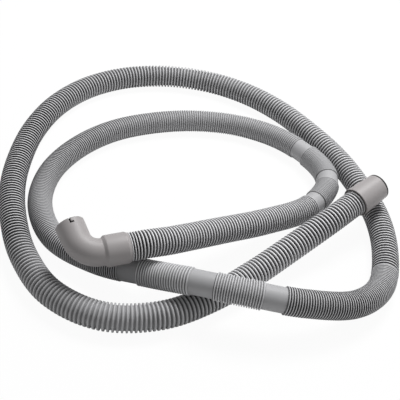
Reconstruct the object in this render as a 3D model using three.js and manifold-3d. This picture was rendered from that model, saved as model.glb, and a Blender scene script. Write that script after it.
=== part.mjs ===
// Washing machine drain hose: a corrugated hose laid in two loose loops on a floor,
// with a bent end fitting on one end and a straight cuff on the other.
// Millimetres, +Z up, floor at Z = 0.

import * as THREE from 'three';
import { mergeVertices } from 'three/addons/utils/BufferGeometryUtils.js';
import Module from 'manifold-3d';

const wasm = await Module();
wasm.setup();

const UP = new THREE.Vector3(0, 0, 1);

// Hose, as radii
const CORRUGATED_RADIUS = 13;
const SHALLOW_RADIUS = 12.3;
const PLAIN_RADIUS = 11.5;
const HOSE_BORE_RADIUS = 10.4;
const STEP_LENGTH = 1.2;
const HOSE_SIDES = 12;
const HOSE_SAGITTA = 0.5;
const LONGEST_STEP = 55;
const BEND_SPAN = 8;

// Lengths of the hose's corrugated stretches
const ELBOW_RUN_LENGTH = 220.5;
const INNER_RUN_LENGTH = 516;
const CROSSING_RUN_LENGTH = 49.5;
const FIRST_BEND_LENGTH = 31.5;
const SECOND_BEND_LENGTH = 45.5;
const MIDDLE_RUN_LENGTH = 40.5;

// Clearances between pieces
const SOCKET_CLEARANCE = 0.35;
const END_CLEARANCE = 0.3;

// Bent end fitting
const ELBOW_NECK_RADIUS = 12.3;
const ELBOW_MOUTH_RADIUS = 13.35;
const ELBOW_BORE_RADIUS = 10.4;
const ELBOW_BEND_RADIUS = 19.1;
const ELBOW_TURN = THREE.MathUtils.degToRad(81.1);
const ELBOW_LEAN = THREE.MathUtils.degToRad(18.3);
const ELBOW_NECK_LENGTH = 0.8;
const ELBOW_MOUTH_LENGTH = 16.2;
const COLLAR_RADIUS = 14.3;
const COLLAR_LENGTH = 24;
const COLLAR_CHAMFER = 1.4;
const COLLAR_CHAMFER_LENGTH = 2.8;
const COLLAR_SHOULDER = 2.6;
const COLLAR_SOCKET_DEPTH = 20;
const ELBOW_SIDES = 36;
const ELBOW_STEP = THREE.MathUtils.degToRad(9);

// Latch slot sunk into the outside of the bent fitting's mouth
const SLOT_SUNK = 1.8;
const SLOT_WIDTH = 1.3;
const SLOT_DEPTH = 5.2;
const SLOT_LEG = 3.4;
const SLOT_ANGLE = THREE.MathUtils.degToRad(264);
const SLOT_OVERRUN = 1.3;

// Straight cuff
const CUFF_FOOT_RADIUS = 15.2;
const CUFF_MOUTH_RADIUS = 13.65;
const CUFF_BORE_RADIUS = 10.7;
const CUFF_LENGTH = 34.6;
const CUFF_SOCKET_DEPTH = 20;
const CUFF_LIP_LENGTH = 1.3;
const CUFF_LIP_STEP = 0.45;
const CUFF_SIDES = 44;

// Edges of both fittings
const RIM_CHAMFER = 0.7;
const LEAD_IN = 0.8;

// Tolerances of the calculations
const ROUTE_DIVISIONS = 6000;
const MERGE_DISTANCE = 1e-4;
const LEAST_TURN = 1e-4;

// Centreline of the free hose, from the collar's face to the cuff's face
const ROUTE = [
  [-52.9, -153.4, 52.6],
  [-39.2, -147.3, 52.8],
  [-20.5, -135.9, 49.2],
  [-2.9, -121.4, 43.5],
  [28.1, -96.4, 34.5],
  [70.7, -65.5, 25.5],
  [114.2, -28.6, 18.5],
  [136.8, 15.6, 17],
  [129.1, 53.2, 13.7],
  [90.5, 92.9, 13.1],
  [42.5, 112, 12.5],
  [-9, 112.5, 12.3],
  [-59, 98, 12.3],
  [-103.5, 71.5, 12.3],
  [-136.5, 32, 12.3],
  [-155, -16.1, 12.4],
  [-153.4, -67.2, 12.55],
  [-129.3, -112.4, 13.4],
  [-83.1, -141.4, 18.2],
  [-34.4, -158.8, 28.4],
  [9.2, -173.1, 39.3],
  [60.1, -180.9, 41.2],
  [105.6, -178.6, 35],
  [153.8, -160, 22.5],
  [181, -128.1, 15.6],
  [190.9, -76.2, 13.3],
  [187.5, -24.1, 13.1],
  [171.5, 26, 13],
  [149.5, 72.5, 13],
  [119.5, 115, 13],
  [85, 153.5, 13],
  [42.5, 183.5, 13],
  [-6.5, 200, 13],
  [-58, 200.5, 13],
  [-107.5, 184, 13],
  [-147.5, 152, 13],
  [-174.5, 108, 13],
  [-188, 58, 13],
  [-191, 6.5, 13],
  [-186.5, -45, 13],
  [-172.5, -95.5, 13],
  [-150.5, -142.5, 13],
  [-117, -182, 13],
  [-69.5, -201.5, 13.1],
  [-18.5, -193, 13],
  [25, -165, 13.4],
  [62.5, -129.5, 16],
  [99.5, -93.5, 23.5],
  [136.5, -59, 34.2],
  [150.5, -43.8, 36.6],
  [158.8, -35.4, 38.5],
].map(([x, y, z]) => new THREE.Vector3(x, y, z));

// Stretches of the hose in order from the elbow; the last one runs on to the cuff
const STRETCHES = [
  { radius: CORRUGATED_RADIUS, length: ELBOW_RUN_LENGTH },
  { radius: PLAIN_RADIUS, length: 9.5 },
  { radius: CORRUGATED_RADIUS, length: FIRST_BEND_LENGTH },
  { radius: PLAIN_RADIUS, length: 15.5 },
  { radius: CORRUGATED_RADIUS, length: SECOND_BEND_LENGTH },
  { radius: PLAIN_RADIUS, length: 15.5 },
  { radius: SHALLOW_RADIUS, length: INNER_RUN_LENGTH },
  { radius: PLAIN_RADIUS, length: 19.5 },
  { radius: CORRUGATED_RADIUS, length: CROSSING_RUN_LENGTH },
  { radius: PLAIN_RADIUS, length: 22.5 },
  { radius: CORRUGATED_RADIUS, length: MIDDLE_RUN_LENGTH },
  { radius: PLAIN_RADIUS, length: 20.5 },
];

// A smooth route with straight ends, measured along its length
const spline = new THREE.CatmullRomCurve3(ROUTE, false, 'centripetal');
spline.arcLengthDivisions = ROUTE_DIVISIONS;
const freeLength = spline.getLength();

function routePoint(s) {
  const along = THREE.MathUtils.clamp(s, 0, freeLength);
  const point = spline.getPointAt(along / freeLength);
  return point.addScaledVector(routeTangent(s), s - along);
}

function routeTangent(s) {
  return spline.getTangentAt(THREE.MathUtils.clamp(s / freeLength, 0, 1));
}

function routeBendRadius(s) {
  const turn = routeTangent(s - BEND_SPAN).angleTo(routeTangent(s + BEND_SPAN));
  return (2 * BEND_SPAN) / Math.max(turn, LEAST_TURN);
}

// Chord that leaves its arc by the given sagitta
function chordOf(radius, sagitta) {
  return Math.sqrt(8 * radius * sagitta);
}

// Places on the route where the hose needs a ring: close together in bends
function hoseStations(start, end) {
  const stations = [start];
  let s = start;
  while (s < end) {
    const bend = Math.min(routeBendRadius(s), routeBendRadius(s + CORRUGATED_RADIUS));
    s += Math.min(LONGEST_STEP, chordOf(bend, HOSE_SAGITTA));
    stations.push(Math.min(s, end));
  }
  return stations;
}

// Closed solid of a ring-shaped profile, each point [radius, s], laid along a path
function layAlong(profile, sides, pathFrame) {
  const outline = [...profile, profile[0]].map(([radius, s]) => new THREE.Vector2(radius, s));
  const geometry = new THREE.LatheGeometry(outline, sides);
  const position = geometry.getAttribute('position');
  for (let i = 0; i < position.count; i += 1) {
    const frame = pathFrame(position.getY(i));
    const point = frame.centre.clone();
    point.addScaledVector(frame.side, position.getX(i));
    point.addScaledVector(frame.up, position.getZ(i));
    position.setXYZ(i, point.x, point.y, point.z);
  }
  return closed(geometry);
}

// Merges shared corners and turns the faces outwards
function closed(geometry) {
  geometry.deleteAttribute('normal');
  geometry.deleteAttribute('uv');
  const merged = mergeVertices(geometry, MERGE_DISTANCE);
  const position = merged.getAttribute('position');
  const corners = merged.getIndex().array;
  const kept = [];
  const a = new THREE.Vector3();
  const b = new THREE.Vector3();
  const c = new THREE.Vector3();
  let volume = 0;
  for (let i = 0; i < corners.length; i += 3) {
    const [p, q, r] = [corners[i], corners[i + 1], corners[i + 2]];
    if (p !== q && q !== r && r !== p) {
      kept.push([p, q, r]);
      a.fromBufferAttribute(position, p);
      b.fromBufferAttribute(position, q);
      c.fromBufferAttribute(position, r);
      volume += a.dot(b.cross(c)) / 6;
    }
  }
  const faces = volume > 0 ? kept : kept.map(([p, q, r]) => [p, r, q]);
  merged.setIndex(faces.flat());
  merged.computeVertexNormals();
  return merged;
}

function toSolid(geometry) {
  const mesh = new wasm.Mesh({
    numProp: 3,
    vertProperties: new Float32Array(geometry.getAttribute('position').array),
    triVerts: new Uint32Array(geometry.getIndex().array),
  });
  return new wasm.Manifold(mesh);
}

function toGeometry(solid) {
  const mesh = solid.getMesh();
  const geometry = new THREE.BufferGeometry();
  geometry.setAttribute('position', new THREE.BufferAttribute(mesh.vertProperties, 3));
  geometry.setIndex(Array.from(mesh.triVerts));
  geometry.computeVertexNormals();
  return geometry;
}

// Outer radius of the hose along its length, as [radius, s] points
function hoseOutline() {
  const start = -COLLAR_SOCKET_DEPTH + END_CLEARANCE;
  const end = freeLength + CUFF_SOCKET_DEPTH - END_CLEARANCE;
  const outline = [[PLAIN_RADIUS, start], [PLAIN_RADIUS, END_CLEARANCE]];
  const addStretch = (radius, from, to) => {
    const stations = hoseStations(from + STEP_LENGTH, to);
    stations.forEach((s) => outline.push([radius, s]));
  };
  outline.push([CORRUGATED_RADIUS, END_CLEARANCE]);
  let s = END_CLEARANCE;
  for (const { radius, length } of STRETCHES) {
    addStretch(radius, s, s + length);
    s += length;
  }
  addStretch(CORRUGATED_RADIUS, s, freeLength - END_CLEARANCE);
  outline.push([PLAIN_RADIUS, freeLength - END_CLEARANCE], [PLAIN_RADIUS, end]);
  return outline;
}

function hoseGeometry() {
  const outer = hoseOutline();
  const start = outer[0][1];
  const end = outer[outer.length - 1][1];
  const bore = hoseStations(0, freeLength).map((s) => [HOSE_BORE_RADIUS, s]);
  const inner = [[HOSE_BORE_RADIUS, start], ...bore, [HOSE_BORE_RADIUS, end]].reverse();
  return layAlong([...outer, ...inner], HOSE_SIDES, (s) => {
    const along = routeTangent(s);
    const side = new THREE.Vector3().crossVectors(along, UP).normalize();
    const up = new THREE.Vector3().crossVectors(side, along);
    return { centre: routePoint(s), side, up };
  });
}

// Path of the bent fitting in its own frame: along +X from the collar's face,
// then round towards +Y
const bendStart = COLLAR_LENGTH + ELBOW_NECK_LENGTH;
const bendLength = ELBOW_BEND_RADIUS * ELBOW_TURN;
const elbowLength = bendStart + bendLength + ELBOW_MOUTH_LENGTH;

function elbowFrame(s) {
  const turned = THREE.MathUtils.clamp((s - bendStart) / ELBOW_BEND_RADIUS, 0, ELBOW_TURN);
  const straight = Math.min(s, bendStart);
  const beyond = Math.max(s - bendStart - bendLength, 0);
  const along = new THREE.Vector3(Math.cos(turned), Math.sin(turned), 0);
  const side = new THREE.Vector3(-Math.sin(turned), Math.cos(turned), 0);
  const centre = new THREE.Vector3(
    straight + ELBOW_BEND_RADIUS * Math.sin(turned),
    ELBOW_BEND_RADIUS * (1 - Math.cos(turned)),
    0,
  );
  centre.addScaledVector(along, beyond);
  return { centre, side, up: new THREE.Vector3(0, 0, 1) };
}

// The tube widens evenly from the neck to the mouth
function elbowRadius(s) {
  const share = (s - COLLAR_LENGTH) / (elbowLength - COLLAR_LENGTH);
  return THREE.MathUtils.lerp(ELBOW_NECK_RADIUS, ELBOW_MOUTH_RADIUS, share);
}

function elbowGeometry() {
  const steps = Math.ceil(ELBOW_TURN / ELBOW_STEP);
  const bend = Array.from({ length: steps + 1 }, (_, i) => bendStart + (bendLength * i) / steps);
  const socketRadius = PLAIN_RADIUS + SOCKET_CLEARANCE;
  const outer = [
    [COLLAR_RADIUS - COLLAR_CHAMFER, 0],
    [COLLAR_RADIUS, COLLAR_CHAMFER_LENGTH],
    [COLLAR_RADIUS, COLLAR_LENGTH - COLLAR_SHOULDER],
    [ELBOW_NECK_RADIUS, COLLAR_LENGTH],
    ...bend.map((s) => [elbowRadius(s), s]),
    [ELBOW_MOUTH_RADIUS, elbowLength - RIM_CHAMFER],
    [ELBOW_MOUTH_RADIUS - RIM_CHAMFER, elbowLength],
  ];
  const inner = [
    [ELBOW_BORE_RADIUS + LEAD_IN, elbowLength],
    [ELBOW_BORE_RADIUS, elbowLength - LEAD_IN],
    ...bend.map((s) => [ELBOW_BORE_RADIUS, s]).reverse(),
    [ELBOW_BORE_RADIUS, COLLAR_SOCKET_DEPTH],
    [socketRadius, COLLAR_SOCKET_DEPTH],
    [socketRadius, LEAD_IN],
    [socketRadius + LEAD_IN, 0],
  ];
  const body = layAlong([...outer, ...inner], ELBOW_SIDES, elbowFrame);
  return toGeometry(toSolid(body).subtract(toSolid(latchSlotGeometry())));
}

// L-shaped cutter that sinks the slot into the wall at the mouth
function latchSlotGeometry() {
  const mouth = elbowFrame(elbowLength);
  const along = new THREE.Vector3(Math.cos(ELBOW_TURN), Math.sin(ELBOW_TURN), 0);
  const outward = mouth.side.clone().multiplyScalar(Math.cos(SLOT_ANGLE));
  outward.addScaledVector(mouth.up, Math.sin(SLOT_ANGLE));
  const across = new THREE.Vector3().crossVectors(along, outward);
  const outline = new THREE.Shape([
    new THREE.Vector2(0, SLOT_OVERRUN),
    new THREE.Vector2(0, -SLOT_DEPTH),
    new THREE.Vector2(SLOT_LEG, -SLOT_DEPTH),
    new THREE.Vector2(SLOT_LEG, -SLOT_DEPTH + SLOT_WIDTH),
    new THREE.Vector2(SLOT_WIDTH, -SLOT_DEPTH + SLOT_WIDTH),
    new THREE.Vector2(SLOT_WIDTH, SLOT_OVERRUN),
  ]);
  const depth = SLOT_SUNK + SLOT_OVERRUN;
  const cutter = new THREE.ExtrudeGeometry(outline, { depth, bevelEnabled: false });
  cutter.applyMatrix4(new THREE.Matrix4().makeBasis(across, along, outward));
  const foot = mouth.centre.clone();
  foot.addScaledVector(outward, ELBOW_MOUTH_RADIUS - SLOT_SUNK);
  cutter.translate(foot.x, foot.y, foot.z);
  return closed(cutter);
}

function cuffGeometry() {
  const socketRadius = PLAIN_RADIUS + SOCKET_CLEARANCE;
  const lipRadius = CUFF_MOUTH_RADIUS - CUFF_LIP_STEP;
  const profile = [
    [CUFF_FOOT_RADIUS - RIM_CHAMFER, 0],
    [CUFF_FOOT_RADIUS, RIM_CHAMFER],
    [CUFF_MOUTH_RADIUS, CUFF_LENGTH - CUFF_LIP_LENGTH],
    [lipRadius, CUFF_LENGTH - CUFF_LIP_LENGTH],
    [lipRadius, CUFF_LENGTH],
    [CUFF_BORE_RADIUS + LEAD_IN, CUFF_LENGTH],
    [CUFF_BORE_RADIUS, CUFF_LENGTH - LEAD_IN],
    [CUFF_BORE_RADIUS, CUFF_SOCKET_DEPTH],
    [socketRadius, CUFF_SOCKET_DEPTH],
    [socketRadius, LEAD_IN],
    [socketRadius + LEAD_IN, 0],
  ];
  const outline = [...profile, profile[0]].map(([radius, s]) => new THREE.Vector2(radius, s));
  return closed(new THREE.LatheGeometry(outline, CUFF_SIDES));
}

function plastic(color, roughness) {
  return new THREE.MeshStandardMaterial({ color, roughness, metalness: 0 });
}

const hose = new THREE.Mesh(hoseGeometry(), plastic(0x8b8b8e, 0.5));
hose.name = 'corrugated_hose';

// The bent fitting sits on the hose's first end, its bend leaning up from level
const elbow = new THREE.Mesh(elbowGeometry(), plastic(0xa39f9e, 0.45));
elbow.name = 'elbow_fitting';
const intoElbow = routeTangent(0).negate();
const level = new THREE.Vector3().crossVectors(intoElbow, UP).normalize();
const elbowSide = level.applyAxisAngle(intoElbow, -ELBOW_LEAN);
const elbowUp = new THREE.Vector3().crossVectors(intoElbow, elbowSide);
elbow.quaternion.setFromRotationMatrix(
  new THREE.Matrix4().makeBasis(intoElbow, elbowSide, elbowUp),
);
elbow.position.copy(routePoint(0));

// The cuff sits on the hose's other end, in line with it
const cuff = new THREE.Mesh(cuffGeometry(), plastic(0xa8a4a3, 0.45));
cuff.name = 'straight_cuff';
cuff.quaternion.setFromUnitVectors(new THREE.Vector3(0, 1, 0), routeTangent(freeLength));
cuff.position.copy(routePoint(freeLength));

const drainHose = new THREE.Group();
drainHose.name = 'drain_hose';
drainHose.add(hose, elbow, cuff);

export default drainHose;
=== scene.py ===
"""Washing machine drain hose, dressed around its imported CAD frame.

The hose lies in two loose loops on a pale floor, with a bent end fitting
on one end and a straight cuff on the other.
"""

import logging
import math
from collections.abc import Sequence
from dataclasses import dataclass, field, replace
from enum import Enum

import bmesh
import bpy
import numpy as np
from mathutils import Matrix, Vector


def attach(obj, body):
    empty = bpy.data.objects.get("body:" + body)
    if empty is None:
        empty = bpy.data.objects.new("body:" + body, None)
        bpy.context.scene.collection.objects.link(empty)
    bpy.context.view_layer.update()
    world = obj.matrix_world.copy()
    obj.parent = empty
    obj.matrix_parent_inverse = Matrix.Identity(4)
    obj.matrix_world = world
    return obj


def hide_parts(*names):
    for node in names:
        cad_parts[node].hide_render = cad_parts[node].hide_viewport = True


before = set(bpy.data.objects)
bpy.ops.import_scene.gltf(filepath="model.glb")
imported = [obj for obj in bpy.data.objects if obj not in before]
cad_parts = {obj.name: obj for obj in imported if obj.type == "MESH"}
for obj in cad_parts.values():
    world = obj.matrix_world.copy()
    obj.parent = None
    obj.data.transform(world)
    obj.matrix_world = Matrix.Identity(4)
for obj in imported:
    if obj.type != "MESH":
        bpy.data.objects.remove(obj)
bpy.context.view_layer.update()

LOG = logging.getLogger("drain_hose")
MM = 0.001
BODY = "root"

WHITE = (1.0, 1.0, 1.0, 1.0)
# The Mix node's sockets for colours
MIX_FACTOR, MIX_FIRST, MIX_SECOND, MIX_RESULT = 0, 6, 7, 2
# The largest share of a side that the rounding of a corner takes
ROUNDED_SHARE = 0.48
# Along the hose, radius and painted shade of one ring
Mark = tuple[float, float, float]

# The route of the free hose, from the collar's face to the cuff's face
ROUTE_POINTS = (
    (-0.0529, -0.1534, 0.0526),
    (-0.0392, -0.1473, 0.0528),
    (-0.0205, -0.1359, 0.0492),
    (-0.0029, -0.1214, 0.0435),
    (0.0281, -0.0964, 0.0345),
    (0.0707, -0.0655, 0.0255),
    (0.1142, -0.0286, 0.0185),
    (0.1368, 0.0156, 0.017),
    (0.1291, 0.0532, 0.0137),
    (0.0905, 0.0929, 0.0131),
    (0.0425, 0.112, 0.0125),
    (-0.009, 0.1125, 0.0123),
    (-0.059, 0.098, 0.0123),
    (-0.1035, 0.0715, 0.0123),
    (-0.1365, 0.032, 0.0123),
    (-0.155, -0.0161, 0.0124),
    (-0.1534, -0.0672, 0.01255),
    (-0.1293, -0.1124, 0.0134),
    (-0.0831, -0.1414, 0.0182),
    (-0.0344, -0.1588, 0.0284),
    (0.0092, -0.1731, 0.0393),
    (0.0601, -0.1809, 0.0412),
    (0.1056, -0.1786, 0.035),
    (0.1538, -0.16, 0.0225),
    (0.181, -0.1281, 0.0156),
    (0.1909, -0.0762, 0.0133),
    (0.1875, -0.0241, 0.0131),
    (0.1715, 0.026, 0.013),
    (0.1495, 0.0725, 0.013),
    (0.1195, 0.115, 0.013),
    (0.085, 0.1535, 0.013),
    (0.0425, 0.1835, 0.013),
    (-0.0065, 0.2, 0.013),
    (-0.058, 0.2005, 0.013),
    (-0.1075, 0.184, 0.013),
    (-0.1475, 0.152, 0.013),
    (-0.1745, 0.108, 0.013),
    (-0.188, 0.058, 0.013),
    (-0.191, 0.0065, 0.013),
    (-0.1865, -0.045, 0.013),
    (-0.1725, -0.0955, 0.013),
    (-0.1505, -0.1425, 0.013),
    (-0.117, -0.182, 0.013),
    (-0.0695, -0.2015, 0.0131),
    (-0.0185, -0.193, 0.013),
    (0.025, -0.165, 0.0134),
    (0.0625, -0.1295, 0.016),
    (0.0995, -0.0935, 0.0235),
    (0.1365, -0.059, 0.0342),
    (0.1505, -0.0438, 0.0366),
    (0.1588, -0.0354, 0.0385),
)


class Route:
    """A smooth route through chosen points, measured along its length."""

    SAMPLES_PER_SPAN = 60

    def __init__(self, points: Sequence[Sequence[float]]) -> None:
        """Work out the spline through the points and its length.

        Args:
            points: Places that the centreline passes through, in metres.
        """
        chosen = np.asarray(points, dtype=float)
        first = 2 * chosen[0] - chosen[1]
        last = 2 * chosen[-1] - chosen[-2]
        padded = np.vstack([first, chosen, last])
        self._spans = [self._cubic(*padded[i:i + 4]) for i in range(len(chosen) - 1)]
        steps = self.SAMPLES_PER_SPAN * len(self._spans)
        self._params = np.linspace(0.0, len(self._spans), steps + 1)
        line = self._evaluate(self._params, derivative=False)
        chords = np.linalg.norm(np.diff(line, axis=0), axis=1)
        self._lengths = np.concatenate([[0.0], np.cumsum(chords)])
        self.length = float(self._lengths[-1])

    @staticmethod
    def _cubic(
        before: np.ndarray, start: np.ndarray, end: np.ndarray, after: np.ndarray
    ) -> np.ndarray:
        """Give the centripetal spline's cubic between two points.

        Args:
            before: The point before the span.
            start: The span's first point.
            end: The span's last point.
            after: The point after the span.

        Returns:
            Four rows of coefficients, from the constant one up.
        """
        gap0, gap1, gap2 = (
            math.sqrt(float(np.linalg.norm(b - a)))
            for a, b in ((before, start), (start, end), (end, after))
        )
        leave = (start - before) / gap0 - (end - before) / (gap0 + gap1)
        leave = (leave + (end - start) / gap1) * gap1
        arrive = (end - start) / gap1 - (after - start) / (gap1 + gap2)
        arrive = (arrive + (after - end) / gap2) * gap1
        square = 3 * (end - start) - 2 * leave - arrive
        cube = 2 * (start - end) + leave + arrive
        return np.array([start, leave, square, cube])

    def _evaluate(self, params: np.ndarray, derivative: bool) -> np.ndarray:
        """Give places or directions at spline parameters.

        Args:
            params: Parameters, counted in spans.
            derivative: Whether directions are wanted and not places.

        Returns:
            One row for each parameter.
        """
        spans = np.clip(params.astype(int), 0, len(self._spans) - 1)
        part = (params - spans)[:, None]
        c0, c1, c2, c3 = np.array(self._spans)[spans].transpose(1, 0, 2)
        if derivative:
            return c1 + part * (2 * c2 + part * 3 * c3)
        return c0 + part * (c1 + part * (c2 + part * c3))

    def places(self, along: np.ndarray) -> tuple[np.ndarray, np.ndarray]:
        """Give points and unit directions at lengths along the route.

        Args:
            along: Lengths from the start; past either end the route is straight.

        Returns:
            The points and the directions, a row for each length.
        """
        inside = np.clip(along, 0.0, self.length)
        params = np.interp(inside, self._lengths, self._params)
        heading = self._evaluate(params, derivative=True)
        heading /= np.linalg.norm(heading, axis=1)[:, None]
        points = self._evaluate(params, derivative=False)
        return points + heading * (along - inside)[:, None], heading


class Wire:
    """A node socket that adds a Math node where it is reckoned with."""

    def __init__(self, bench: "Bench", socket: bpy.types.NodeSocket) -> None:
        """Keep the socket and the bench that it belongs to."""
        self.bench = bench
        self.socket = socket

    def _join(self, operation: str, *values: object) -> "Wire":
        """Add one Math node with its values."""
        inputs = dict(enumerate(values))
        node = self.bench.node("ShaderNodeMath", {"operation": operation}, inputs)
        return Wire(self.bench, node.outputs[0])

    def __add__(self, other: "float | Wire") -> "Wire":
        """Add a value."""
        return self._join("ADD", self, other)

    def __radd__(self, other: float) -> "Wire":
        """Add to a value."""
        return self._join("ADD", other, self)

    def __sub__(self, other: "float | Wire") -> "Wire":
        """Subtract a value."""
        return self._join("SUBTRACT", self, other)

    def __rsub__(self, other: float) -> "Wire":
        """Subtract from a value."""
        return self._join("SUBTRACT", other, self)

    def __mul__(self, other: "float | Wire") -> "Wire":
        """Multiply by a value."""
        return self._join("MULTIPLY", self, other)

    def __truediv__(self, other: "float | Wire") -> "Wire":
        """Divide by a value."""
        return self._join("DIVIDE", self, other)

    def __mod__(self, other: "float | Wire") -> "Wire":
        """Give what is left after dividing."""
        return self._join("MODULO", self, other)

    def floor(self) -> "Wire":
        """Round down."""
        return self._join("FLOOR", self)

    def cosine(self) -> "Wire":
        """Give the cosine."""
        return self._join("COSINE", self)

    def sine(self) -> "Wire":
        """Give the sine."""
        return self._join("SINE", self)


class Bench:
    """Adds nodes and links to one node tree."""

    def __init__(self, tree: bpy.types.NodeTree) -> None:
        """Keep the tree that the nodes go into."""
        self.tree = tree

    def node(
        self,
        kind: str,
        settings: dict[str, object] | None = None,
        inputs: dict[str | int, object] | None = None,
    ) -> bpy.types.Node:
        """Add a node, set its options, then its sockets.

        Args:
            kind: The node's type.
            settings: Options that are set before the sockets.
            inputs: Values, sockets or wires, by socket name or number.

        Returns:
            The new node.
        """
        node = self.tree.nodes.new(kind)
        for name, value in (settings or {}).items():
            setattr(node, name, value)
        for key, value in (inputs or {}).items():
            self.feed(self._socket(node, key), value)
        return node

    @staticmethod
    def _socket(node: bpy.types.Node, key: str | int) -> bpy.types.NodeSocket:
        """Find an input by its number, or by name among those in use."""
        if isinstance(key, int):
            return node.inputs[key]
        return next(s for s in node.inputs if s.name == key and s.enabled)

    def feed(self, socket: bpy.types.NodeSocket, value: object) -> None:
        """Link or set one input.

        Args:
            socket: The input.
            value: A value, a socket or a wire.
        """
        if isinstance(value, Wire):
            self.tree.links.new(value.socket, socket)
        elif isinstance(value, bpy.types.NodeSocket):
            self.tree.links.new(value, socket)
        else:
            socket.default_value = value


def linear(colour: Sequence[float]) -> tuple[float, float, float]:
    """Turn a display colour into the linear one that a shader takes.

    Args:
        colour: Red, green and blue from 0 to 1 as displayed.

    Returns:
        The linear colour.
    """
    return tuple(
        c / 12.92 if c <= 0.04045 else ((c + 0.055) / 1.055) ** 2.4 for c in colour
    )


@dataclass(frozen=True)
class Noise:
    """A cloudy pattern in space.

    Attributes:
        scale: Clouds in a metre.
        detail: How many times finer clouds are added.
        roughness: How strong the finer clouds are.
    """

    scale: float
    detail: float
    roughness: float

    def wire(self, bench: Bench, place: bpy.types.NodeSocket) -> Wire:
        """Add the pattern to a tree.

        Args:
            bench: The tree's bench.
            place: The socket of the place in space.

        Returns:
            The pattern, about 0.5 in the middle.
        """
        return Wire(bench, bench.node("ShaderNodeTexNoise", {"noise_dimensions": "3D"}, {
            "Vector": place,
            "Scale": self.scale,
            "Detail": self.detail,
            "Roughness": self.roughness,
        }).outputs[0])


@dataclass(frozen=True)
class MouldedPlastic:
    """A moulded plastic or rubber with faint cloudiness and a fine skin.

    Attributes:
        name: The material's name.
        colour: Display colour.
        clouds: The cloudiness of the colour.
        cloud_depth: How far the clouds darken and lighten the colour.
        roughness: Middle roughness.
        cloud_roughness: How far the clouds vary the roughness.
        grain: The skin's grain.
        grain_roughness: How far the grain varies the roughness.
        relief: Height of the grain.
        relief_strength: Strength of the grain's bump.
        shade_attribute: Mesh attribute of painted shade: 0 is plain, 1 is dark, below 0
            is a lighter painted highlight.
        shade_depth: Share of the colour that a place of painted shade 1 loses.
        specular: Strength of the gloss.
        ior: Index of refraction.
    """

    name: str
    colour: tuple[float, float, float]
    clouds: Noise = Noise(38.0, 3.0, 0.55)
    cloud_depth: float = 0.04
    roughness: float = 0.42
    cloud_roughness: float = 0.08
    grain: Noise = Noise(1.0 / (0.9 * MM), 2.0, 0.6)
    grain_roughness: float = 0.04
    relief: float = 0.02 * MM
    relief_strength: float = 0.6
    shade_attribute: str = "shade"
    shade_depth: float = 0.0
    specular: float = 0.35
    ior: float = 1.48

    def build(self) -> bpy.types.Material:
        """Make the material."""
        material = bpy.data.materials.new(self.name)
        material.use_nodes = True
        shader = material.node_tree.nodes["Principled BSDF"]
        bench = Bench(material.node_tree)
        place = bench.node("ShaderNodeTexCoord").outputs["Object"]
        clouds = self.clouds.wire(bench, place)
        shade = Wire(bench, bench.node(
            "ShaderNodeAttribute", {"attribute_name": self.shade_attribute},
        ).outputs["Fac"])
        lightness = (1.0 - self.cloud_depth) + clouds * (2.0 * self.cloud_depth)
        # Painted shade and painted highlight from the mesh's shade attribute darken or
        # lighten the colour
        lightness = lightness * (1.0 - shade * self.shade_depth)
        grey = bench.node(
            "ShaderNodeCombineColor", None, {0: lightness, 1: lightness, 2: lightness},
        )
        tint = bench.node(
            "ShaderNodeMix", {"data_type": "RGBA", "blend_type": "MULTIPLY"}, {
                MIX_FACTOR: 1.0,
                MIX_FIRST: (*linear(self.colour), 1.0),
                MIX_SECOND: grey.outputs[0],
            },
        )
        bench.feed(shader.inputs["Base Color"], tint.outputs[MIX_RESULT])
        grain = self.grain.wire(bench, place)
        least = self.roughness - (self.cloud_roughness + self.grain_roughness) / 2
        rough = least + clouds * self.cloud_roughness + grain * self.grain_roughness
        bench.feed(shader.inputs["Roughness"], rough)
        bump = bench.node("ShaderNodeBump", None, {
            "Strength": self.relief_strength, "Distance": self.relief, "Height": grain,
        })
        bench.feed(shader.inputs["Normal"], bump.outputs[0])
        shader.inputs["IOR"].default_value = self.ior
        shader.inputs["Specular IOR Level"].default_value = self.specular
        return material


# shade_depth is how far each piece's painted shade and painted highlight, kept in its
# shade attribute, change the colour
HOSE_FINISH = MouldedPlastic(
    "hose_plastic", (0.67, 0.67, 0.677), roughness=0.55, shade_depth=0.75)
FITTING_FINISH = MouldedPlastic(
    "fitting_rubber", (0.615, 0.6, 0.6), roughness=0.5, shade_depth=0.95)
# A dark material painted on the slot's walls, standing in for the shadow inside the slot
SLOT_PAINTED_SHADOW = MouldedPlastic("slot_shadow", (0.16, 0.16, 0.16))


@dataclass
class Rings:
    """Round rings in the order in which a skin joins them.

    Attributes:
        centres: A row for each ring's middle.
        sides: Unit directions across each ring.
        ups: Unit directions across each ring, square to its side.
        radii: Each ring's radius.
        shades: Painted shade of each ring: 0 is plain, 1 is dark, below 0 is a lighter
            painted highlight.
    """

    centres: np.ndarray
    sides: np.ndarray
    ups: np.ndarray
    radii: np.ndarray
    shades: np.ndarray

    def as_object(self, name: str) -> bpy.types.Object:
        """Make a mesh of bare points that carries the rings as attributes.

        Args:
            name: The object's name.

        Returns:
            The object, linked to the scene.
        """
        mesh = bpy.data.meshes.new(name)
        mesh.from_pydata([tuple(c) for c in self.centres], [], [])
        for key, values in (("radius", self.radii), ("shade", self.shades)):
            mesh.attributes.new(key, "FLOAT", "POINT").data.foreach_set(
                "value", np.asarray(values, dtype=np.float32))
        for key, values in (("side", self.sides), ("up", self.ups)):
            mesh.attributes.new(key, "FLOAT_VECTOR", "POINT").data.foreach_set(
                "vector", np.asarray(values, dtype=np.float32).ravel())
        obj = bpy.data.objects.new(name, mesh)
        bpy.context.scene.collection.objects.link(obj)
        return obj


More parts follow.
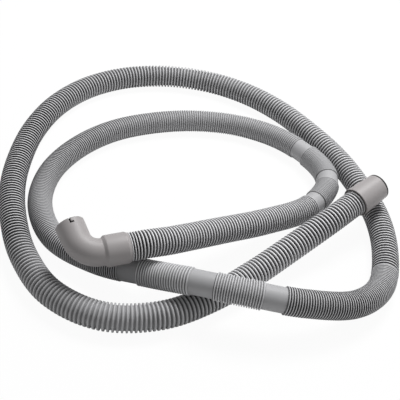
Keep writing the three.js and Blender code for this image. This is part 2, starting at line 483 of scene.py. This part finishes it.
class RingSweep:
    """A Geometry Nodes tree that stretches one closed skin over rings."""

    WELD = 0.01 * MM

    def __init__(self) -> None:
        """Build the tree once for all the pieces."""
        self.tree = bpy.data.node_groups.new("ring_sweep", "GeometryNodeTree")
        interface = self.tree.interface
        interface.new_socket("Rings", in_out="INPUT", socket_type="NodeSocketGeometry")
        self._sides = interface.new_socket(
            "Sides", in_out="INPUT", socket_type="NodeSocketInt")
        self._weld = interface.new_socket(
            "Weld", in_out="INPUT", socket_type="NodeSocketFloat")
        self._finish = interface.new_socket(
            "Finish", in_out="INPUT", socket_type="NodeSocketMaterial")
        interface.new_socket("Skin", in_out="OUTPUT", socket_type="NodeSocketGeometry")
        self._build(Bench(self.tree))

    @staticmethod
    def _sample(bench: Bench, rings: object, ring: Wire, name: str, kind: str) -> Wire:
        """Read one of the rings' attributes for each point of the skin.

        Args:
            bench: The tree's bench.
            rings: The socket of the rings.
            ring: The number of the ring that a point lies on.
            name: The attribute, or "position".
            kind: The attribute's data type.

        Returns:
            The value at each point.
        """
        if name == "position":
            source = bench.node("GeometryNodeInputPosition").outputs[0]
        else:
            source = bench.node(
                "GeometryNodeInputNamedAttribute", {"data_type": kind}, {"Name": name},
            ).outputs["Attribute"]
        return Wire(bench, bench.node(
            "GeometryNodeSampleIndex", {"data_type": kind, "domain": "POINT"},
            {"Geometry": rings, "Value": source, "Index": ring},
        ).outputs["Value"])

    def _build(self, bench: Bench) -> None:
        """Add the tree's nodes."""
        given = bench.node("NodeGroupInput").outputs
        rings, sides = given["Rings"], Wire(bench, given["Sides"])
        size = bench.node(
            "GeometryNodeAttributeDomainSize", {"component": "MESH"}, {"Geometry": rings})
        count = Wire(bench, size.outputs["Point Count"])
        grid = bench.node("GeometryNodeMeshGrid", None, {
            "Vertices X": count + 1.0, "Vertices Y": sides + 1.0,
        })
        index = Wire(bench, bench.node("GeometryNodeInputIndex").outputs[0])
        # Half a step keeps the division clear of whole numbers
        row = ((index + 0.5) / (sides + 1.0)).floor()
        turn = index - row * (sides + 1.0)
        ring = row % count
        angle = turn * math.tau / sides
        radius = self._sample(bench, rings, ring, "radius", "FLOAT")
        place = self._sample(bench, rings, ring, "position", "FLOAT_VECTOR")
        for name, share in (("side", angle.cosine()), ("up", angle.sine())):
            arm = bench.node("ShaderNodeVectorMath", {"operation": "SCALE"}, {
                0: self._sample(bench, rings, ring, name, "FLOAT_VECTOR"),
                "Scale": radius * share,
            })
            place = bench.node("ShaderNodeVectorMath", {"operation": "ADD"}, {
                0: place, 1: arm.outputs[0],
            }).outputs[0]
        skin = bench.node("GeometryNodeSetPosition", None, {
            "Geometry": grid.outputs["Mesh"], "Position": place,
        })
        store = "GeometryNodeStoreNamedAttribute"
        shade = bench.node(store, {"data_type": "FLOAT", "domain": "POINT"}, {
            "Geometry": skin.outputs[0],
            "Name": "shade",
            "Value": self._sample(bench, rings, ring, "shade", "FLOAT"),
        })
        unwrap = bench.node(store, {"data_type": "FLOAT2", "domain": "CORNER"}, {
            "Geometry": shade.outputs[0],
            "Name": "UVMap",
            "Value": grid.outputs["UV Map"],
        })
        welded = bench.node("GeometryNodeMergeByDistance", None, {
            "Geometry": unwrap.outputs[0], "Distance": given["Weld"],
        })
        smooth = bench.node(
            "GeometryNodeSetShadeSmooth", None, {"Geometry": welded.outputs[0]})
        real = bench.node(
            "GeometryNodeRealizeInstances", None, {"Geometry": smooth.outputs[0]})
        dressed = bench.node("GeometryNodeSetMaterial", None, {
            "Geometry": real.outputs[0], "Material": given["Finish"],
        })
        bench.node("NodeGroupOutput", None, {"Skin": dressed.outputs[0]})

    def skin(
        self, name: str, rings: Rings, sides: int, finish: bpy.types.Material
    ) -> bpy.types.Object:
        """Stretch a closed skin over rings.

        Args:
            name: The piece's name.
            rings: The rings; the last one joins the first.
            sides: Faces round each ring.
            finish: The material.

        Returns:
            The piece, with a plain mesh.
        """
        obj = rings.as_object(name)
        modifier = obj.modifiers.new("rings", "NODES")
        modifier.node_group = self.tree
        modifier[self._sides.identifier] = sides
        modifier[self._weld.identifier] = self.WELD
        modifier[self._finish.identifier] = finish
        bake_modifiers(obj)
        face_outwards(obj.data)
        return obj


def bake_modifiers(obj: bpy.types.Object) -> None:
    """Turn an object's modifiers into a plain mesh.

    Args:
        obj: The object.
    """
    bpy.context.view_layer.update()
    evaluated = obj.evaluated_get(bpy.context.evaluated_depsgraph_get())
    mesh = bpy.data.meshes.new_from_object(evaluated)
    mesh.name = obj.name
    obj.modifiers.clear()
    obj.data = mesh


def face_outwards(mesh: bpy.types.Mesh) -> None:
    """Turn a closed mesh's faces outwards.

    Args:
        mesh: The mesh.
    """
    work = bmesh.new()
    work.from_mesh(mesh)
    bmesh.ops.recalc_face_normals(work, faces=work.faces)
    work.to_mesh(mesh)
    work.free()


def dress(obj: bpy.types.Object, slot: str, *nodes: str) -> None:
    """Tie a finished piece to the body and hide the CAD nodes that it replaces.

    Args:
        obj: The piece.
        slot: The record's material slot; not used.
        nodes: CAD nodes that the piece replaces.
    """
    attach(obj, BODY)
    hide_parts(*nodes)
    obj.data.calc_loop_triangles()
    LOG.info("%s: %d triangles", obj.name, len(obj.data.loop_triangles))


def rounded(
    corners: Sequence[tuple[float, float, float]], steps: int = 4
) -> np.ndarray:
    """Round the corners of a closed outline.

    Args:
        corners: Along, radius and rounding of each corner.
        steps: Straight pieces in each rounding.

    Returns:
        A row of along and radius for each point.
    """
    points = np.array([corner[:2] for corner in corners])
    outline: list[np.ndarray] = []
    for i, (_, _, rounding) in enumerate(corners):
        here = points[i]
        if rounding == 0.0:
            outline.append(here)
            continue
        back = points[i - 1] - here
        ahead = points[(i + 1) % len(points)] - here
        back_length = float(np.linalg.norm(back))
        ahead_length = float(np.linalg.norm(ahead))
        reach = min(rounding, ROUNDED_SHARE * min(back_length, ahead_length))
        start = here + back / back_length * reach
        end = here + ahead / ahead_length * reach
        for step in range(steps + 1):
            t = step / steps
            outline.append((1 - t) ** 2 * start + 2 * t * (1 - t) * here + t * t * end)
    return np.array(outline)


@dataclass(frozen=True)
class Corrugation:
    """The shape of one ring of the hose's skin, with a painted shade in the valley and a
    painted highlight on the crest.

    Attributes:
        crest: Radius over a ring.
        valley: Radius between rings.
        flat: Share of the pitch from a crest's middle to its edge.
        foot: Share of the pitch from a crest's middle to the valley's edge.
        dark: Painted shade in the valley; 0 is plain hose and 1 is dark.
        light: Painted highlight on the crest's middle, below 0 and so lighter than plain
            hose.
        crown: How far the crest's edge lies below its middle.
        darkest: What the valley's painted shade never passes.
        lightest: What the crest's painted highlight never passes.
    """

    crest: float
    valley: float
    flat: float
    foot: float
    dark: float
    light: float
    crown: float = 0.12 * MM
    darkest: float = 1.25
    lightest: float = -1.45

    def period(self) -> list[tuple[float, float, float]]:
        """Give the rings of one pitch: share of the pitch, radius and step down towards
        the valley's painted shade.

        Returns:
            The crest's middle, its edge, the valley's edges and the next crest's edge.
        """
        shoulder = self.crest - self.crown
        return [
            (0.0, self.crest, 0.0),
            (self.flat, shoulder, 0.5),
            (self.foot, self.valley, 1.0),
            (1 - self.foot, self.valley, 1.0),
            (1 - self.flat, shoulder, 0.5),
        ]

    def shades(
        self, steps: np.ndarray, contrasts: np.ndarray, edges: np.ndarray
    ) -> np.ndarray:
        """Turn steps down from the crest into how dark the skin is painted: shade in the
        valley, highlight on the crest.

        Args:
            steps: 0 on the crest, 0.5 on its edge and 1 in the valley.
            contrasts: How strong the painted shade and highlight are at each step; 1 is
                plain.
            edges: How far the crest's edge has gone to the valley's painted shade.

        Returns:
            The shades.
        """
        # Painted highlight on the crests and painted shade in the valleys, standing in
        # for how the rings are lit
        light = np.maximum(self.light * contrasts ** 2, self.lightest)
        dark = self.dark * contrasts
        # A curve through 0 at step 0, the edge's share at step 0.5 and 1 at step 1
        depths = steps * (4 * edges - 1) + steps ** 2 * (2 - 4 * edges)
        return np.minimum(light + depths * (dark - light), self.darkest)


class Skin(Enum):
    """The kinds of stretch that the hose has."""

    PLAIN = None
    # The last two numbers of each corrugation are the valley's painted shade and the
    # crest's painted highlight
    FINE = Corrugation(13.0 * MM, 11.2 * MM, 0.22, 0.29, 1.25, -1.45)
    RIBBED = Corrugation(12.8 * MM, 11.4 * MM, 0.22, 0.3, 0.6, -0.65)
    DEEP = Corrugation(12.8 * MM, 11.4 * MM, 0.22, 0.3, 1.2, -1.0)
    CLOSE = Corrugation(12.8 * MM, 11.8 * MM, 0.22, 0.32, 0.4, -0.12)
    SHALLOW = Corrugation(12.3 * MM, 11.4 * MM, 0.2, 0.3, 0.68, -0.28)
    COARSE = Corrugation(13.0 * MM, 11.0 * MM, 0.2, 0.29, 1.0, -0.48)


@dataclass(frozen=True)
class Stretch:
    """A stretch of the hose with one kind of skin.

    Attributes:
        skin: The kind of skin.
        length: Length along the hose.
        pitches: Pitches in millimetres, at equal steps along the stretch.
        contrasts: How strong the rings' painted shade and painted highlight are, at equal
            steps too.
        edges: How far the crests' edges go to the valleys' painted shade, at equal steps
            too.
    """

    skin: Skin
    length: float
    pitches: tuple[float, ...] = ()
    contrasts: tuple[float, ...] = (1.0,)
    edges: tuple[float, ...] = (0.5,)


@dataclass
class CorrugatedHose:
    """The hose, from inside the bent fitting's collar to inside the cuff.

    Attributes:
        plain_radius: Radius of the plain necks and of the ends in the sockets.
        bore_radius: Radius of the bore.
        socket_depth: Length of the hose in each fitting.
        end_clearance: Gap between a fitting's face and the first crest.
        step: Length over which the skin steps from a crest down to a neck.
        dark_band: Length of the painted shade on the neck beside that step, where the
            step's face lies in shadow.
        near_band_shade: Strength of that painted shade at the neck's first end; at the
            other it is 1.
        neck_shade: Shade of the necks.
        crisp: Length over which that painted shade ends.
        plain_step: Distance between a neck's rings.
        bore_step: Distance between the bore's rings.
        sides: Faces round the hose.
        path_step: Distance between the places along the hose's path.
        samples: Places at which the pitch of a stretch is added up.
        route: The route of the free hose.
        stretches: The stretches from the collar on.
        last: The stretch up to the cuff, which takes the length that is left.
    """

    plain_radius: float = 11.5 * MM
    bore_radius: float = 10.4 * MM
    socket_depth: float = 19.7 * MM
    end_clearance: float = 0.3 * MM
    step: float = 0.35 * MM
    dark_band: float = 0.5 * MM
    near_band_shade: float = 0.35
    neck_shade: float = 0.09
    crisp: float = 0.06 * MM
    plain_step: float = 4.0 * MM
    bore_step: float = 12.0 * MM
    sides: int = 24
    path_step: float = 6.0 * MM
    samples: int = 400
    route: Route = field(default_factory=lambda: Route(ROUTE_POINTS))
    # After its pitches, a stretch gives the strength of its painted shade and highlight,
    # then how far its crests' edges take the painted shade
    stretches: tuple[Stretch, ...] = (
        Stretch(
            Skin.FINE, 215.2 * MM, (2.42, 3.02, 3.3, 3.14, 2.93, 2.52),
            (1.0, 1.0, 1.0, 1.0, 0.7), (0.67,)),
        Stretch(Skin.PLAIN, 13.3 * MM),
        Stretch(Skin.CLOSE, 31.2 * MM, (2.3,)),
        Stretch(Skin.PLAIN, 15.8 * MM),
        Stretch(Skin.CLOSE, 45.0 * MM, (2.3,)),
        Stretch(Skin.PLAIN, 18.5 * MM),
        Stretch(
            Skin.SHALLOW, 515 * MM, (2.4, 2.6, 2.6, 2.7, 2.8, 2.65, 2.45, 2.27, 2.2),
            (1.0, 1.0, 1.0, 1.1, 1.6, 1.3, 0.9, 2.4, 2.6),
            (0.5, 0.5, 0.5, 0.55, 0.8, 0.85, 0.55, 0.55, 0.55)),
        Stretch(Skin.PLAIN, 19.5 * MM),
        Stretch(Skin.RIBBED, 49.5 * MM, (2.42,), (1.1,), (0.4,)),
        Stretch(Skin.PLAIN, 22.5 * MM),
        Stretch(Skin.RIBBED, 40.5 * MM, (2.25,), (1.1,), (0.45,)),
        Stretch(Skin.PLAIN, 20.5 * MM),
        Stretch(Skin.DEEP, 136 * MM, (2.2, 2.4, 2.47, 2.42), edges=(0.8, 1.0, 0.55)),
    )
    last: Stretch = Stretch(
        Skin.COARSE,
        0.0,
        (3.77, 3.76, 3.95, 3.99, 3.93, 3.91, 3.94, 4.0,
         3.92, 3.78, 3.84, 3.75, 3.81, 3.8, 3.44),
        (1.75, 1.75, 1.6, 1.35, 0.95, 0.9, 1.1, 1.6,
         1.7, 1.75, 0.9, 0.35, 1.3, 1.8, 1.8),
        (0.8, 0.7, 0.55, 0.45, 0.42, 0.45, 0.55, 0.85,
         1.05, 1.1, 0.45, 0.25, 0.3, 0.4, 0.6),
    )

    def _corrugate(self, start: float, stretch: Stretch) -> list[Mark]:
        """Give the rings of a corrugated stretch.

        Args:
            start: Where it starts along the hose.
            stretch: The stretch.

        Returns:
            Length along the hose, radius and shade of each ring.
        """
        shape = stretch.skin.value
        along = np.linspace(0.0, stretch.length, self.samples)
        knots = np.linspace(0.0, stretch.length, len(stretch.pitches))
        rate = 1.0 / (MM * np.interp(along, knots, stretch.pitches))
        gains = (rate[1:] + rate[:-1]) / 2 * np.diff(along)
        turns = np.concatenate([[0.0], np.cumsum(gains)])
        count = max(1, round(turns[-1] - 2 * shape.flat))
        turns *= (count + 2 * shape.flat) / turns[-1]
        marks = [(-shape.flat, shape.crest, 0.5)]
        for k in range(count):
            marks += [(k + share, *ring) for share, *ring in shape.period()]
        marks += [(count, shape.crest, 0.0), (count + shape.flat, shape.crest, 0.5)]
        shares, radii, steps = np.array(marks).T
        places = np.interp(shares + shape.flat, turns, along)
        contrasts, edges = (
            np.interp(places, np.linspace(0.0, stretch.length, len(values)), values)
            for values in (stretch.contrasts, stretch.edges)
        )
        shades = shape.shades(steps, contrasts, edges)
        return list(zip(start + places, radii, shades, strict=True))

    def _neck(self, start: float, length: float) -> list[Mark]:
        """Give the rings of a plain neck, with painted shade where it steps up to the
        crests beside it.

        Args:
            start: Where it starts along the hose.
            length: Its length.

        Returns:
            Length along the hose, radius and shade of each ring.
        """
        dark_band = self.step + self.dark_band
        count = max(2, round(length / self.plain_step))
        middle = np.linspace(dark_band + self.crisp, length - dark_band - self.crisp, count)
        # Painted shade at both ends of the neck, standing in for the shadow of the steps
        # up to the crests
        marks = [(self.step, self.near_band_shade), (dark_band, self.near_band_shade)]
        marks += [(along, self.neck_shade) for along in middle]
        marks += [(length - dark_band, 1.0), (length - self.step, 1.0)]
        return [(start + along, self.plain_radius, shade) for along, shade in marks]

    def _outline(self) -> np.ndarray:
        """Give the outside's rings: along, radius and shade, a row each."""
        rows = [
            (along, self.plain_radius, 0.0) for along in (-self.socket_depth, -self.step)
        ]
        start = self.end_clearance
        used = sum(stretch.length for stretch in self.stretches)
        rest = self.route.length - 2 * self.end_clearance - used
        for stretch in (*self.stretches, replace(self.last, length=rest)):
            if stretch.skin is Skin.PLAIN:
                rows += self._neck(start, stretch.length)
            else:
                rows += self._corrugate(start, stretch)
            start += stretch.length
        rows += [
            (self.route.length + past, self.plain_radius, 0.0)
            for past in (0.0, self.socket_depth)
        ]
        return np.array(rows)

    def rings(self) -> Rings:
        """Give the rings of the skin, out along the outside and back by the bore."""
        outside = self._outline()
        start, end = outside[0, 0], outside[-1, 0]
        back = np.linspace(end, start, round((end - start) / self.bore_step))
        bore = [(along, self.bore_radius, 0.0) for along in back]
        rows = np.vstack([outside, bore])
        points, heading = self.route.places(rows[:, 0])
        sides = np.cross(heading, (0.0, 0.0, 1.0))
        sides /= np.linalg.norm(sides, axis=1)[:, None]
        ups = np.cross(sides, heading)
        return Rings(points, sides, ups, rows[:, 1], rows[:, 2])

    def build(self, sweep: RingSweep) -> bpy.types.Object:
        """Make the hose's skin.

        Args:
            sweep: The tree that stretches skins over rings.

        Returns:
            The piece.
        """
        return sweep.skin("hose_skin", self.rings(), self.sides, HOSE_FINISH.build())

    def declare(
        self
    ) -> None:
        """Work out points along the hose's path between its fittings, and its length;
        neither is kept.
        """
        span = np.linspace(
            -self.socket_depth, self.route.length + self.socket_depth,
            round((self.route.length + 2 * self.socket_depth) / self.path_step),
        )
        path, _ = self.route.places(span)
        self.route.length + 2 * self.socket_depth


@dataclass
class ElbowFitting:
    """The bent end fitting with its collar, its bend and its slotted mouth.

    Each edge and foot is the rounding of one corner of the wall's outline.
    """

    route: Route
    collar_radius: float = 14.3 * MM
    collar_length: float = 24.0 * MM
    chamfer: float = 1.4 * MM
    chamfer_length: float = 2.8 * MM
    shoulder: float = 2.6 * MM
    socket_radius: float = 11.85 * MM
    socket_depth: float = 20.0 * MM
    neck_radius: float = 12.3 * MM
    mouth_radius: float = 13.35 * MM
    bore_radius: float = 10.4 * MM
    neck: float = 0.8 * MM
    bend_radius: float = 19.1 * MM
    turn: float = math.radians(81.1)
    mouth: float = 16.2 * MM
    lean: float = math.radians(18.3)
    rim: float = 0.7 * MM
    lead_in: float = 0.8 * MM
    slot_sunk: float = 1.8 * MM
    slot_width: float = 1.3 * MM
    slot_depth: float = 5.2 * MM
    slot_leg: float = 3.7 * MM
    slot_angle: float = math.radians(261)
    collar_edge: float = 0.3 * MM
    chamfer_edge: float = 0.6 * MM
    shoulder_edge: float = 0.8 * MM
    shoulder_foot: float = 0.9 * MM
    mouth_edge: float = 0.8 * MM
    socket_edge: float = 0.2 * MM
    sides: int = 72
    bend_steps: int = 24
    mouth_rings: int = 14
    rim_shade: float = 0.35

    @property
    def bend_start(self) -> float:
        """Length from the collar's face to the bend."""
        return self.collar_length + self.neck

    @property
    def bend_length(self) -> float:
        """Length of the bend."""
        return self.bend_radius * self.turn

    @property
    def length(self) -> float:
        """Length from the collar's face to the mouth's rim."""
        return self.bend_start + self.bend_length + self.mouth

    def _frame(self, along: float) -> tuple[Vector, Vector, Vector]:
        """Give the fitting's own frame at a length from the collar's face.

        Args:
            along: Length along the fitting.

        Returns:
            The middle, the direction across in the bend's plane and the heading.
        """
        turned = min(max((along - self.bend_start) / self.bend_radius, 0.0), self.turn)
        heading = Vector((math.cos(turned), math.sin(turned), 0.0))
        side = Vector((-math.sin(turned), math.cos(turned), 0.0))
        middle = Vector((
            min(along, self.bend_start) + self.bend_radius * math.sin(turned),
            self.bend_radius * (1 - math.cos(turned)),
            0.0,
        ))
        middle += heading * max(along - self.bend_start - self.bend_length, 0.0)
        return middle, side, heading

    def _radius(self, along: float) -> float:
        """Give the tube's radius, which widens evenly from the neck to the mouth."""
        share = (along - self.collar_length) / (self.length - self.collar_length)
        return self.neck_radius + share * (self.mouth_radius - self.neck_radius)

    def _placement(self) -> Matrix:
        """Give the matrix from the fitting's own frame to the scene's."""
        points, headings = self.route.places(np.array([0.0]))
        into = -Vector(headings[0])
        level = into.cross(Vector((0.0, 0.0, 1.0))).normalized()
        side = Matrix.Rotation(-self.lean, 3, into) @ level
        up = into.cross(side)
        turn = Matrix((into, side, up)).transposed().to_4x4()
        return Matrix.Translation(Vector(points[0])) @ turn

    def _outline(self) -> np.ndarray:
        """Give the closed outline of the wall as along and radius."""
        end = self.length
        bend_end = self.bend_start + self.bend_length
        bend = np.linspace(self.bend_start, bend_end, self.bend_steps + 1)
        mouth = np.linspace(bend_end, end - self.rim, self.mouth_rings)[1:-1]
        corners = [
            (0.0, self.collar_radius - self.chamfer, self.collar_edge),
            (self.chamfer_length, self.collar_radius, self.chamfer_edge),
            (self.collar_length - self.shoulder, self.collar_radius, self.shoulder_edge),
            (self.collar_length, self.neck_radius, self.shoulder_foot),
            *[(s, self._radius(s), 0.0) for s in (*bend, *mouth)],
            (end, self.mouth_radius, self.mouth_edge),
            (end, self.bore_radius, self.lead_in),
            *[(s, self.bore_radius, 0.0) for s in bend[::-1]],
            (self.socket_depth, self.bore_radius, self.socket_edge),
            (self.socket_depth, self.socket_radius, self.socket_edge),
            (0.0, self.socket_radius, self.lead_in),
        ]
        return rounded(corners)

    def _slot_cutter(self) -> bpy.types.Object:
        """Make the L-shaped cutter of the latch slot at the mouth, carrying the slot's
        painted shadow.
        """
        middle, side, heading = self._frame(self.length)
        level = side * math.cos(self.slot_angle)
        outward = level + Vector((0.0, 0.0, math.sin(self.slot_angle)))
        across = heading.cross(outward)
        overrun = self.slot_width
        flat = [
            (0.0, overrun),
            (0.0, -self.slot_depth),
            (self.slot_leg, -self.slot_depth),
            (self.slot_leg, -self.slot_depth + self.slot_width),
            (self.slot_width, -self.slot_depth + self.slot_width),
            (self.slot_width, overrun),
        ]
        low, high = self.mouth_radius - self.slot_sunk, self.mouth_radius + overrun
        vertices = [
            middle + across * x + heading * y + outward * reach
            for reach in (low, high) for x, y in flat
        ]
        n = len(flat)
        faces = [tuple(range(n)), tuple(range(2 * n - 1, n - 1, -1))]
        faces += [(i, i + n, (i + 1) % n + n, (i + 1) % n) for i in range(n)]
        mesh = bpy.data.meshes.new("slot_cutter")
        mesh.from_pydata([tuple(v) for v in vertices], [], faces)
        mesh.transform(self._placement())
        face_outwards(mesh)
        mesh.materials.append(SLOT_PAINTED_SHADOW.build())
        cutter = bpy.data.objects.new("slot_cutter", mesh)
        bpy.context.scene.collection.objects.link(cutter)
        return cutter

    def build(self, sweep: RingSweep, finish: bpy.types.Material) -> bpy.types.Object:
        """Make the fitting.

        Args:
            sweep: The tree that stretches skins over rings.
            finish: The fittings' material.

        Returns:
            The piece.
        """
        placement = self._placement()
        turn = placement.to_3x3()
        outline = self._outline()
        frames = [self._frame(along) for along in outline[:, 0]]
        centres = np.array([placement @ middle for middle, _, _ in frames])
        sides = np.array([turn @ side for _, side, _ in frames])
        ups = np.array([turn @ heading.cross(side) for _, side, heading in frames])
        # Painted shade on the mouth's rim, darker than the rest of the fitting
        on_rim = outline[:, 0] > self.length - self.rim
        on_rim &= outline[:, 1] > self.mouth_radius - self.rim
        rings = Rings(centres, sides, ups, outline[:, 1], on_rim * self.rim_shade)
        piece = sweep.skin("bent_fitting", rings, self.sides, finish)
        cutter = self._slot_cutter()
        cut = piece.modifiers.new("slot", "BOOLEAN")
        cut.operation = "DIFFERENCE"
        cut.solver = "EXACT"
        # The cutter's painted shadow goes onto the slot's walls
        cut.material_mode = "TRANSFER"
        cut.object = cutter
        bake_modifiers(piece)
        bpy.data.objects.remove(cutter)
        return piece


@dataclass
class StraightCuff:
    """The straight cuff with its tapered outside and its lip at the mouth.

    Its painted dark band runs round the mouth, over the lip and the stretch below it, and
    crisp is where that darkening starts.
    """

    route: Route
    foot_radius: float = 15.2 * MM
    mouth_radius: float = 13.65 * MM
    bore_radius: float = 10.7 * MM
    socket_radius: float = 11.85 * MM
    socket_depth: float = 20.0 * MM
    length: float = 34.6 * MM
    rim: float = 0.7 * MM
    lead_in: float = 0.8 * MM
    lip_length: float = 1.3 * MM
    lip_step: float = 0.2 * MM
    lip_foot: float = 0.1 * MM
    lip_edge: float = 0.3 * MM
    socket_edge: float = 0.2 * MM
    # Length of the painted dark band below the lip
    dark_band: float = 0.8 * MM
    crisp: float = 0.05 * MM
    foot_shade: float = 0.7
    sides: int = 88

    def _outline(self) -> np.ndarray:
        """Give the closed outline of the wall as along and radius."""
        lip = self.length - self.lip_length
        return rounded([
            (0.0, self.foot_radius, self.rim),
            (lip - self.dark_band, self.mouth_radius, 0.0),
            (lip - self.dark_band + self.crisp, self.mouth_radius, 0.0),
            (lip, self.mouth_radius, self.lip_foot),
            (lip, self.mouth_radius - self.lip_step, 0.0),
            (self.length, self.mouth_radius - self.lip_step, self.lip_edge),
            (self.length, self.bore_radius, self.lead_in),
            (self.socket_depth, self.bore_radius, self.socket_edge),
            (self.socket_depth, self.socket_radius, self.socket_edge),
            (0.0, self.socket_radius, self.lead_in),
        ])

    def build(self, sweep: RingSweep, finish: bpy.types.Material) -> bpy.types.Object:
        """Make the cuff.

        Args:
            sweep: The tree that stretches skins over rings.
            finish: The fittings' material.

        Returns:
            The piece.
        """
        outline = self._outline()
        points, headings = self.route.places(self.route.length + outline[:, 0])
        sides = np.cross(headings, (0.0, 0.0, 1.0))
        sides /= np.linalg.norm(sides, axis=1)[:, None]
        ups = np.cross(sides, headings)
        # A painted dark band round the mouth, on the lip and the stretch below it
        on_lip = outline[:, 0] > self.length - self.lip_length - self.dark_band
        on_lip &= outline[:, 1] > self.bore_radius + self.lead_in
        # Painted shade on the foot's face, where the step from the hose up to the cuff
        # lies in shadow
        on_foot = np.isclose(outline[:, 0], 0.0)
        shades = np.where(on_foot, self.foot_shade, on_lip)
        rings = Rings(points, sides, ups, outline[:, 1], shades)
        return sweep.skin("end_cuff", rings, self.sides, finish)


@dataclass(frozen=True)
class Lamp:
    """A soft square lamp that faces the middle of the hose.

    Attributes:
        name: The lamp's name.
        place: Where it hangs.
        size: Its side.
        power: Its power in watts.
    """

    name: str
    place: tuple[float, float, float]
    size: float
    power: float

    def hang(self) -> None:
        """Add the lamp to the scene."""
        data = bpy.data.lights.new(self.name, "AREA")
        data.shape = "SQUARE"
        data.size = self.size
        data.energy = self.power
        lamp = bpy.data.objects.new(self.name, data)
        lamp.location = self.place
        lamp.rotation_euler = (-Vector(self.place)).to_track_quat("-Z", "Y").to_euler()
        bpy.context.scene.collection.objects.link(lamp)


@dataclass
class Studio:
    """The camera, the floor and the lights."""

    camera_place: tuple[float, float, float] = (0.0038, -0.6658, 0.5447)
    camera_right: tuple[float, float, float] = (0.99258, 0.07800, 0.09324)
    camera_up: tuple[float, float, float] = (-0.12157, 0.63688, 0.76132)
    focal_pixels: float = 805.8
    image_pixels: float = 400.0
    sensor: float = 36.0
    clip_start: float = 0.01
    floor_size: float = 8.0
    floor_drop: float = 0.1 * MM
    floor_colour: tuple[float, float, float] = (0.82, 0.82, 0.82)
    floor_shadow: float = 0.05
    world_light: float = 0.25
    lamps: tuple[Lamp, ...] = (
        Lamp("top_lamp", (0.3, 0.62, 1.4), 0.6, 28.0),
        Lamp("side_lamp", (1.2, 0.1, 0.9), 0.8, 3.0),
    )

    def place_camera(self) -> None:
        """Put the camera at the photograph's viewing angle."""
        data = bpy.data.cameras.new("camera")
        data.sensor_width = self.sensor
        data.lens = self.focal_pixels / self.image_pixels * self.sensor
        data.clip_start = self.clip_start
        camera = bpy.data.objects.new("camera", data)
        right = Vector(self.camera_right).normalized()
        up = Vector(self.camera_up)
        up = (up - right * up.dot(right)).normalized()
        turn = Matrix((right, up, right.cross(up))).transposed().to_4x4()
        camera.matrix_world = Matrix.Translation(Vector(self.camera_place)) @ turn
        bpy.context.scene.collection.objects.link(camera)
        bpy.context.scene.camera = camera

    def lay_floor(self) -> None:
        """Lay the pale floor, which keeps a faint shadow."""
        half = self.floor_size / 2
        mesh = bpy.data.meshes.new("floor")
        corners = [
            (x, y, -self.floor_drop)
            for x, y in ((-half, -half), (half, -half), (half, half), (-half, half))
        ]
        mesh.from_pydata(corners, [], [(0, 1, 2, 3)])
        floor = bpy.data.objects.new("floor", mesh)
        bpy.context.scene.collection.objects.link(floor)
        material = bpy.data.materials.new("floor_white")
        material.use_nodes = True
        tree = material.node_tree
        tree.nodes.clear()
        bench = Bench(tree)
        matt = bench.node(
            "ShaderNodeBsdfDiffuse", None, {"Color": (*self.floor_colour, 1.0)})
        glow = bench.node("ShaderNodeEmission", None, {"Color": WHITE, "Strength": 1.0})
        seen = Wire(bench, bench.node("ShaderNodeLightPath").outputs["Is Camera Ray"])
        mix = bench.node("ShaderNodeMixShader", None, {
            0: seen * (1.0 - self.floor_shadow), 1: matt.outputs[0], 2: glow.outputs[0],
        })
        bench.node("ShaderNodeOutputMaterial", None, {"Surface": mix.outputs[0]})
        floor.data.materials.append(material)

    def light_world(self) -> None:
        """Light the scene evenly and show the camera a white background."""
        world = bpy.data.worlds.new("studio")
        bpy.context.scene.world = world
        world.use_nodes = True
        world.node_tree.nodes.clear()
        bench = Bench(world.node_tree)
        seen = Wire(bench, bench.node("ShaderNodeLightPath").outputs["Is Camera Ray"])
        back = bench.node("ShaderNodeBackground", None, {
            "Color": WHITE,
            "Strength": seen * (1.0 - self.world_light) + self.world_light,
        })
        bench.node("ShaderNodeOutputWorld", None, {"Surface": back.outputs[0]})

    def build(self) -> None:
        """Set up the whole studio."""
        bpy.context.scene.view_settings.view_transform = "Standard"
        self.place_camera()
        self.lay_floor()
        self.light_world()
        for lamp in self.lamps:
            lamp.hang()


def main() -> None:
    """Build the studio, the hose and its fittings."""
    logging.basicConfig(level=logging.INFO, format="%(name)s %(message)s")
    Studio().build()
    sweep = RingSweep()
    hose = CorrugatedHose()
    skin = hose.build(sweep)
    finish = FITTING_FINISH.build()
    elbow = ElbowFitting(hose.route).build(sweep, finish)
    cuff = StraightCuff(hose.route).build(sweep, finish)
    dress(skin, "hose", "corrugated_hose")
    dress(elbow, "elbow", "elbow_fitting")
    dress(cuff, "cuff", "straight_cuff")
    hose.declare()


if __name__ == "__main__":
    main()
